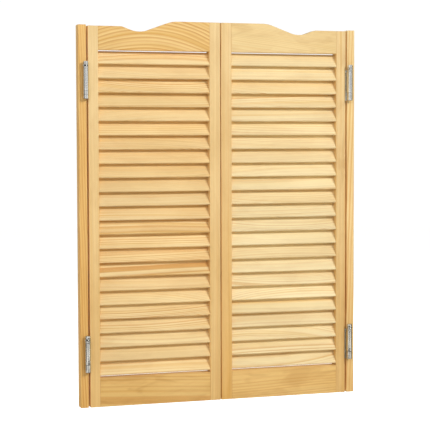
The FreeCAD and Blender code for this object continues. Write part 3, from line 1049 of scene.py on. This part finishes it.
def upright_sheet(name, x, hinge, cuts):
    """Flat sheet in the hinge gap, divided at the given heights."""
    height = hinge.leaf_top - hinge.base
    sheet = add(
        bpy.ops.mesh.primitive_plane_add,
        name,
        stretch=(height, 2 * hinge.half_width, 1),
        size=1.0,
        location=(x, 0, (hinge.base + hinge.leaf_top) / 2),
        rotation=(0, math.pi / 2, 0),
    )
    edit()
    for z in cuts:
        bpy.ops.mesh.select_all(action="SELECT")
        bpy.ops.mesh.bisect(plane_co=(x, 0, z), plane_no=(0, 0, 1))
    leave()
    return sheet


def pull_edge(*steps):
    """Extrude the selected edges by one step after another."""
    for step in steps:
        bpy.ops.mesh.extrude_edges_indiv()
        bpy.ops.transform.translate(value=step)


def curl(axis, turn):
    """Roll the selected edges round an upright axis."""
    bpy.ops.mesh.spin(steps=30, angle=turn, center=(axis.x, axis.y, 0), axis=(0, 0, 1))
    leave()


def wall(piece, thickness, foot=None):
    """Give a sheet its thickness, half to each side, and break its edges; round a barrel's foot."""
    face_outwards(piece)
    apply_modifier(piece, "SOLIDIFY", thickness=thickness, offset=0.0, use_even_offset=True)
    if foot:

        def on_rim(place):
            out = math.hypot(place.x - foot.front.x, place.y - foot.front.y)
            return abs(place.z - foot.base) < 10 * NEAR and abs(out - foot.radius) < 10 * NEAR

        edit_edges(piece, on_rim)
        bpy.ops.mesh.bevel(offset=thickness * 0.7, segments=4, affect="EDGES", clamp_overlap=True)
        leave()
    ease(piece, thickness * 0.3, 3, 50)


def upright_rod(name, radius, axis, z0, z1, sides=32):
    """Round bar on an upright axis."""
    return rod(name, radius, (axis.x, axis.y, z0), (axis.x, axis.y, z1), sides)


def bushing(name, axis, inner, outer, z0, z1, edge=0.0, sides=48):
    """Turned ring with a bore."""
    ring = upright_rod(name, outer, axis, z0, z1, sides)
    select_only(ring)
    bpy.context.tool_settings.mesh_select_mode = (False, False, True)
    pick_vertices(ring.data, ())
    for face in ring.data.polygons:
        face.select = abs(face.normal.z) > 0.9
    edit()
    bpy.ops.mesh.inset(thickness=outer - inner, use_individual=True)
    bpy.ops.mesh.bridge_edge_loops()
    leave()
    face_outwards(ring)
    if edge:
        ease(ring, edge, 3, 50)
    return ring


def metal_shade(piece, hinge, axes, hollow=None, downward=False):
    """Mark painted shade: a barrel's end rims, and what is sunk in its side."""
    sunk_from, sunk_to = PIN_DEPTH, hinge.radius - 0.1 * MILLIMETRE
    values = []
    for face in piece.data.polygons:
        middle = face.center
        out = min(math.hypot(middle.x - axis.x, middle.y - axis.y) for axis in axes)
        tilt = -face.normal.z if downward else abs(face.normal.z)
        rim = tilt > RIM_TILT and out < hinge.radius + 0.2 * MILLIMETRE
        sunk = hollow and hollow[0] < middle.z < hollow[1] and sunk_from < out < sunk_to
        values.append(1.0 if sunk else RIM_SHADE if rim else 0.0)
    store(piece.data, "metal_shade", values, "FACE")


def leaf_model(hinge, sizes):
    """Jamb leaf: pressed sheet whose two arms are set over and curled round the spindle."""
    x = hinge.jamb_leaf_x
    leaf = upright_sheet("leaf", x, hinge, (hinge.knuckle_top, hinge.upper_knuckle))
    front = -hinge.half_width

    def on_arm(place):
        level = place.z <= hinge.knuckle_top + NEAR or place.z >= hinge.upper_knuckle - NEAR
        return level and place.y < front + NEAR

    edit_edges(leaf, on_arm, whole=True)
    set_over = hinge.front.x + hinge.curl_radius - x
    pull_edge(
        (0, -ARM_START, 0),
        (set_over * 0.15, -ARM_BEND * 0.3, 0),
        (set_over * 0.7, -ARM_BEND * 0.4, 0),
        (set_over * 0.15, -ARM_BEND * 0.3, 0),
        (0, hinge.front.y - front + ARM_BEND + ARM_START, 0),
    )
    curl(hinge.front, sizes.curl_turn)
    wall(leaf, hinge.thickness, hinge)

    seat_x = x + hinge.thickness / 2
    sinks = []
    for index in range(LEAF_SCREWS):
        height = hinge.leaf_top - hinge.base - 2 * sizes.screw_margin
        z = hinge.base + sizes.screw_margin + height * index / (LEAF_SCREWS - 1)
        y = sizes.screw_stagger * (1 if index % 2 else -1)
        ends = [(seat_x + off * MILLIMETRE, y, z) for off in (-2.2, 0.2, -4, -2)]
        sinks.append(rod("sink", SCREW_BORE_RADIUS, *ends[:2], 32, SCREW_SINK_RADIUS))
        sinks.append(rod("bore", SCREW_BORE_RADIUS, *ends[2:], 32))
    cutter = merge("sinks", sinks)
    middle = hinge.base + sizes.lower_knuckle / 2
    low, high = middle - GROOVE_HALF_WIDTH, middle + GROOVE_HALF_WIDTH
    inner, outer = hinge.radius - GROOVE_DEPTH, hinge.radius + 2 * MILLIMETRE
    groove = bushing("groove", hinge.front, inner, outer, low, high)
    cut(leaf, cutter)
    cut(leaf, groove)
    discard(cutter, groove)
    metal_shade(leaf, hinge, [hinge.front], (low - 0.05 * MILLIMETRE, high + 0.05 * MILLIMETRE))
    return leaf


def web_model(hinge, sizes):
    """Centre web: one sheet curled at both edges into a spring tube."""
    x = hinge.middle_x
    web = upright_sheet("web", x, hinge, (hinge.tube_low, hinge.tube_high))
    reach = abs(hinge.front.y) - hinge.half_width
    for axis, sign in ((hinge.front, -1), (hinge.back, 1)):

        def on_wing(place, sign=sign):
            in_tube = hinge.tube_low - NEAR <= place.z <= hinge.tube_high + NEAR
            at_edge = abs(place.y - sign * hinge.half_width) < NEAR
            return in_tube and at_edge and abs(place.x - x) < NEAR

        edit_edges(web, on_wing)
        pull_edge((0, sign * reach, 0))
        curl(axis, sizes.curl_turn)
    wall(web, hinge.thickness)
    low, top = hinge.tube_low, hinge.tube_low + sizes.tube_floor
    rim = hinge.bore - 0.02 * MILLIMETRE
    axes = [hinge.front, hinge.back]
    floors = [bushing("floor", axis, BEARING_RADIUS, rim, low, top) for axis in axes]
    web = merge("web", [*floors, web])
    metal_shade(web, hinge, axes)
    return web


def spindle_model(hinge, axis):
    """Pivot rod with a domed cap, and a plug in the lower knuckle."""
    cap = upright_rod("spindle", hinge.radius, axis, hinge.cap_low, hinge.cap_high, 64)
    ends = ((hinge.cap_high, DOME_WIDTH, 6), (hinge.cap_low, 0.4 * MILLIMETRE, 2))
    for level, width, segments in ends:
        edit_edges(cap, lambda place, level=level: abs(place.z - level) < NEAR)
        bpy.ops.mesh.bevel(offset=width, segments=segments, affect="EDGES")
        leave()
    stem = upright_rod("stem", STEM_RADIUS, axis, hinge.base, hinge.cap_low + MILLIMETRE)
    ease(stem, 0.3 * MILLIMETRE, 2)
    plug_radius = hinge.bore - 0.1 * MILLIMETRE
    plug = upright_rod("plug", plug_radius, axis, hinge.base, hinge.base + PLUG_HEIGHT, 48)
    ease(plug, 0.6 * MILLIMETRE, 3)
    spindle = merge("spindle", [stem, plug, cap])
    metal_shade(spindle, hinge, [axis], downward=True)
    return spindle


def collar_model(hinge, sizes, axis):
    """Tension collar: a ring with tommy-bar holes, and a tail down into the spring."""
    low, high = hinge.collar_low, hinge.collar_high
    edge = 0.5 * MILLIMETRE
    ring = bushing("collar", axis, BEARING_RADIUS, hinge.radius, low, high, edge, 64)
    tail_bore = BEARING_RADIUS + 0.01 * MILLIMETRE
    tail = bushing("tail", axis, tail_bore, sizes.collar_tail, hinge.tail_low, low + edge)
    combine(ring, tail, "UNION")
    z = box_middle("left_upper_front_pin").z
    bores = []
    for index in range(6):
        angle = index * math.pi / 3
        way = Vector((math.cos(angle), math.sin(angle), 0))
        middle = Vector((axis.x, axis.y, z))
        start = middle + way * (hinge.radius - PIN_DEPTH)
        holds_pin = way.x < -0.99
        radius = PIN_HOLE_RADIUS if holds_pin else sizes.tommy_hole
        bores.append(rod("bore", radius, start, middle + way * hinge.radius * 1.5, 24))
    cutter = merge("bores", bores)
    cut(ring, cutter)
    discard(tail, cutter)
    metal_shade(ring, hinge, [axis], (z - sizes.tommy_hole, z + sizes.tommy_hole))
    return ring


def pin_model(hinge, axis):
    """Loose tension pin in one of the collar's holes."""
    low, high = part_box("left_upper_front_pin")
    z = (low.z + high.z) / 2
    inner = axis.x - (hinge.radius - PIN_DEPTH)
    outer = inner - (high.x - low.x)
    pin = rod("pin", (high.z - low.z) / 2, (inner, axis.y, z), (outer, axis.y, z), 20)
    ease(pin, 0.3 * MILLIMETRE, 3)
    return pin


def spring_model(hinge, sizes, axis):
    """Torsion spring: round wire wound up the tube."""
    wire = sizes.spring_wire
    low = hinge.tube_low + sizes.tube_floor + SPRING_CLEARANCE + wire
    rise = hinge.tube_high - SPRING_CLEARANCE - wire - low
    turns = rise / sizes.spring_pitch
    coil = add(
        bpy.ops.mesh.primitive_circle_add,
        "coil",
        vertices=10,
        radius=wire,
        fill_type="NGON",
        location=(hinge.bore - wire - SPRING_CLEARANCE, 0, 0),
        rotation=(math.pi / 2, 0, 0),
    )
    apply_modifier(
        coil,
        "SCREW",
        angle=turns * 2 * math.pi,
        screw_offset=rise,
        iterations=1,
        steps=int(turns * COIL_STEPS),
        render_steps=int(turns * COIL_STEPS),
        axis="Z",
        use_merge_vertices=False,
    )
    coil.location = (axis.x, axis.y, low)
    settle(coil)
    edit()
    bpy.ops.mesh.select_all(action="SELECT")
    bpy.ops.mesh.fill_holes(sides=0)
    leave()
    face_outwards(coil)
    return coil


def hinge_copies(model, part, suffix, body, slot, node=None, angle=38):
    """Copy a left-hand upper model to all four hinges."""
    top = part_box("left_upper_jamb_leaf")[0].z
    for side in SIDES:
        for level in LEVELS:
            stem = f"{side}_{level}_"
            piece = copy_of(model, stem + part + suffix)
            piece.location.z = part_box(stem + "jamb_leaf")[0].z - top
            piece.scale.x = -SIDES[side]
            settle(piece)
            face_outwards(piece)
            smooth(piece, angle)
            finish(piece, body.format(side=side, level=level), slot, stem + (node or part))
    discard(model)


def make_leaves(sizes):
    """Jamb leaves, and door leaves that are the same pressing turned about."""
    hinge = Hinge(sizes)
    leaf = leaf_model(hinge, sizes)
    turned = copy_of(leaf, "door_leaf")
    middle = (hinge.middle_x, 0, 0)
    bpy.ops.transform.rotate(value=math.pi, orient_axis="Z", center_override=middle)
    settle(turned)
    hinge_copies(leaf, "jamb_leaf", "_plate", "root", "zinc_plate")
    hinge_copies(turned, "door_leaf", "_plate", "{side}_door", "zinc_plate")


def make_barrels(sizes):
    """Webs, spindles, collars and pins."""
    hinge = Hinge(sizes)
    hinge_copies(web_model(hinge, sizes), "centre_web", "_sheet", "{side}_webs", "zinc_barrel")
    for place, axis, body in (("front", hinge.front, "root"), ("back", hinge.back, "{side}_door")):
        turning = "{side}_{level}_" + place + "_collar"
        spindle = spindle_model(hinge, axis)
        hinge_copies(spindle, place + "_spindle", "_pivot", body, "zinc_barrel")
        collar = collar_model(hinge, sizes, axis)
        hinge_copies(collar, place + "_collar", "_ring", turning, "zinc_barrel")
        hinge_copies(pin_model(hinge, axis), place + "_pin", "_rod", turning, "zinc_barrel")


def make_springs(sizes):
    """Two torsion springs in every hinge."""
    hinge = Hinge(sizes)
    for place, axis in (("front", hinge.front), ("back", hinge.back)):
        coil = spring_model(hinge, sizes, axis)
        hinge_copies(coil, place, "_coil", "{side}_webs", "spring_steel", "springs", 50)


# ---- Pieces that keep their frame shape ----
def dress_nodes(words):
    """Give the carried-over nodes whose names hold one of the words their finish."""
    for name, node in frame["nodes"].items():
        if any(word in name for word in words):
            node.data.materials.clear()
            node.data.materials.append(MATERIALS[NODE_SLOTS[name]])


# ---- Stage ----
def make_camera():
    """Camera in front of the doors, to their left and slightly above their middle."""
    sensor_width, focal_pixels, picture_width = 36.0, 1367.59, 430
    data = bpy.data.cameras.new("camera")
    data.sensor_width = sensor_width
    data.lens = sensor_width * focal_pixels / picture_width
    data.clip_end = 60
    camera = bpy.data.objects.new("camera", data)
    bpy.context.scene.collection.objects.link(camera)
    yaw, pitch, roll = (math.radians(angle) for angle in (17.383, 3.134, -0.152))
    level = math.cos(pitch)
    way = Vector((math.sin(yaw) * level, math.cos(yaw) * level, -math.sin(pitch)))
    camera.location = (-1.1694, -3.6947, 0.7380)
    camera.rotation_mode = "QUATERNION"
    camera.rotation_quaternion = way.to_track_quat("-Z", "Y") @ Quaternion(Z_AXIS, roll)
    bpy.context.scene.camera = camera


def make_lamp(name, place, target, size, watts):
    """Square soft lamp that points at a target."""
    data = bpy.data.lights.new(name, "AREA")
    data.size = size
    data.energy = watts
    light = bpy.data.objects.new(name, data)
    light.visible_glossy = False
    bpy.context.scene.collection.objects.link(light)
    light.location = place
    light.rotation_mode = "QUATERNION"
    light.rotation_quaternion = (Vector(target) - Vector(place)).to_track_quat("-Z", "Y")


def seen_directly(shader):
    """1 for camera, glossy and transmission rays, otherwise 0."""
    kinds = [
        shader.node("ShaderNodeLightPath", output=name)
        for name in ("Is Camera Ray", "Is Glossy Ray", "Is Transmission Ray")
    ]
    return kinds[0].larger(kinds[1]).larger(kinds[2])


def make_world(level):
    """White surroundings that light the doors at a plain level."""
    world = bpy.data.worlds.new("studio")
    bpy.context.scene.world = world
    sky = Shader(world)
    seen = seen_directly(sky)
    warm, white, white_level = (1.0, 0.93, 0.82, 1), (1, 1, 1, 1), 1.02
    strength = seen * (white_level - level) + level
    values = {"Color": sky.mix(seen, warm, white), "Strength": strength}
    background = sky.node("ShaderNodeBackground", values=values)
    sky.node("ShaderNodeOutputWorld", values={"Surface": background})


def glow(paint, grey, strength):
    """Even light from a surface."""
    values = {"Color": (grey, grey, grey, 1), "Strength": strength}
    return paint.node("ShaderNodeEmission", values=values)


def make_floor(z):
    """Pale floor that is white where no shadow falls."""
    grey, glow_strength = (0.82, 0.82, 0.82, 1), 0.84
    disc = bpy.ops.mesh.primitive_circle_add
    floor = add(disc, "floor", vertices=64, radius=14, fill_type="NGON", location=(0, 0, z))
    material, paint = new_material("floor_white")
    diffuse = paint.node("ShaderNodeBsdfDiffuse", values={"Color": grey})
    white = glow(paint, 1, seen_directly(paint) * glow_strength)
    paint.surface(paint.node("ShaderNodeAddShader", values={0: diffuse, 1: white}))
    floor.data.materials.append(material)


def make_card(name, middle, size, turn, level):
    """Grey card that only polished metal shows."""
    plane = bpy.ops.mesh.primitive_plane_add
    card = add(plane, name, stretch=(*size, 1), size=1.0, location=middle, rotation=turn)
    material, paint = new_material(name)
    paint.surface(glow(paint, level, 1.0))
    card.data.materials.append(material)
    for rays in ("camera", "diffuse", "transmission", "shadow"):
        setattr(card, "visible_" + rays, False)


def make_stage():
    """Camera, lamps, white surroundings, and the cards whose reflections shape the barrels."""
    make_camera()
    bpy.context.scene.view_settings.view_transform = "Standard"
    make_world(level=0.22)
    make_floor(z=-0.38)
    make_lamp("key", (2.0, -4.3, 3.0), (0, 0, 0.55), size=0.9, watts=146)
    make_lamp("fill", (-2.2, -4.6, 3.0), (0, 0, 0.5), size=1.6, watts=58)
    make_lamp("side", (-6.5, -1.2, 2.2), (0, 0, 0.5), size=2.5, watts=78)
    make_lamp("back", (3.6, 3.6, 2.2), (0, 0, 0.5), size=2.0, watts=130)
    facing, sideways, flat = (math.pi / 2, 0, 0), (0, math.pi / 2, 0), (0, 0, 0)
    make_card("left_card", (-1.6, 0.33, 0.6), (2.4, 1.35), sideways, level=0.05)
    make_card("front_card", (-1.68, -5.2, 1.0), (3.0, 3.6), facing, level=0.04)
    make_card("right_card", (1.5, -0.1, 0.6), (2.4, 1.8), sideways, level=0.05)
    make_card("path_card", (-1.2, -3.6, -0.365), (2.4, 3.2), flat, level=0.3)
    make_card("low_card", (0, -0.2, -0.36), (2.0, 2.8), flat, level=0.1)


# ---- Operators ----
class DressOperator:
    """What the operators share."""

    bl_options = {"REGISTER", "UNDO"}

    def execute(self, context):
        self.make(context.scene)
        return {"FINISHED"}


class CAFEDOOR_OT_finishes(DressOperator, bpy.types.Operator):
    """Make the wood and metal finishes"""

    bl_idname = "cafe_door.finishes"
    bl_label = "Finishes"

    def make(self, scene):
        make_finishes(scene.cafe_door_colours)


class CAFEDOOR_OT_stage(DressOperator, bpy.types.Operator):
    """Set the camera, the lamps and the white floor"""

    bl_idname = "cafe_door.stage"
    bl_label = "Stage"

    def make(self, scene):
        make_stage()


class CAFEDOOR_OT_strips(DressOperator, bpy.types.Operator):
    """Plane the two strips that are screwed to the door frame"""

    bl_idname = "cafe_door.strips"
    bl_label = "Jamb strips"

    def make(self, scene):
        make_strips(scene.cafe_door_sizes)


class CAFEDOOR_OT_stiles(DressOperator, bpy.types.Operator):
    """Plane and slot the four stiles"""

    bl_idname = "cafe_door.stiles"
    bl_label = "Stiles"

    def make(self, scene):
        make_stiles(scene.cafe_door_sizes)


class CAFEDOOR_OT_rails(DressOperator, bpy.types.Operator):
    """Shape the scalloped top rails and the bottom rails"""

    bl_idname = "cafe_door.rails"
    bl_label = "Rails"

    def make(self, scene):
        make_rails(scene.cafe_door_sizes)


class CAFEDOOR_OT_slats(DressOperator, bpy.types.Operator):
    """Cut and set the louvre slats"""

    bl_idname = "cafe_door.slats"
    bl_label = "Slats"

    def make(self, scene):
        for side in SIDES:
            make_slats(side, scene.cafe_door_sizes)


class CAFEDOOR_OT_leaves(DressOperator, bpy.types.Operator):
    """Press, curl and countersink the hinge leaves"""

    bl_idname = "cafe_door.leaves"
    bl_label = "Hinge leaves"

    def make(self, scene):
        make_leaves(scene.cafe_door_hinge_sizes)


class CAFEDOOR_OT_barrels(DressOperator, bpy.types.Operator):
    """Curl the centre webs, and turn the spindles, collars and pins"""

    bl_idname = "cafe_door.barrels"
    bl_label = "Hinge barrels"

    def make(self, scene):
        make_barrels(scene.cafe_door_hinge_sizes)


class CAFEDOOR_OT_springs(DressOperator, bpy.types.Operator):
    """Wind the torsion springs"""

    bl_idname = "cafe_door.springs"
    bl_label = "Hinge springs"

    def make(self, scene):
        make_springs(scene.cafe_door_hinge_sizes)


class CAFEDOOR_OT_fixings(DressOperator, bpy.types.Operator):
    """Dress the screws and the dowels"""

    bl_idname = "cafe_door.fixings"
    bl_label = "Screws and dowels"

    def make(self, scene):
        dress_nodes(("screws", "dowels"))


OPERATORS = (
    CAFEDOOR_OT_finishes,
    CAFEDOOR_OT_stage,
    CAFEDOOR_OT_strips,
    CAFEDOOR_OT_stiles,
    CAFEDOOR_OT_rails,
    CAFEDOOR_OT_slats,
    CAFEDOOR_OT_leaves,
    CAFEDOOR_OT_barrels,
    CAFEDOOR_OT_springs,
    CAFEDOOR_OT_fixings,
)


class CAFEDOOR_PT_panel(bpy.types.Panel):
    """Sidebar panel with the doors' steps"""

    bl_label = "Cafe doors"
    bl_idname = "CAFEDOOR_PT_panel"
    bl_space_type = "VIEW_3D"
    bl_region_type = "UI"
    bl_category = "Cafe doors"

    def draw(self, context):
        scene = context.scene
        groups = (scene.cafe_door_sizes, scene.cafe_door_hinge_sizes, scene.cafe_door_colours)
        for group in groups:
            box = self.layout.box()
            for name in group.__annotations__:
                box.prop(group, name)
        for operator in OPERATORS:
            self.layout.operator(operator.bl_idname)


CLASSES = (
    CafeDoorSizes,
    CafeDoorHingeSizes,
    CafeDoorColours,
    *OPERATORS,
    CAFEDOOR_PT_panel,
)


def register():
    for made in CLASSES:
        bpy.utils.register_class(made)
    bpy.types.Scene.cafe_door_sizes = bpy.props.PointerProperty(type=CafeDoorSizes)
    bpy.types.Scene.cafe_door_hinge_sizes = bpy.props.PointerProperty(type=CafeDoorHingeSizes)
    bpy.types.Scene.cafe_door_colours = bpy.props.PointerProperty(type=CafeDoorColours)


def unregister():
    del bpy.types.Scene.cafe_door_colours
    del bpy.types.Scene.cafe_door_hinge_sizes
    del bpy.types.Scene.cafe_door_sizes
    for made in reversed(CLASSES):
        bpy.utils.unregister_class(made)


def main():
    """Make everything, in order."""
    register()
    for operator in OPERATORS:
        group, name = operator.bl_idname.split(".")
        getattr(getattr(bpy.ops, group), name)()


if __name__ == "__main__":
    main()
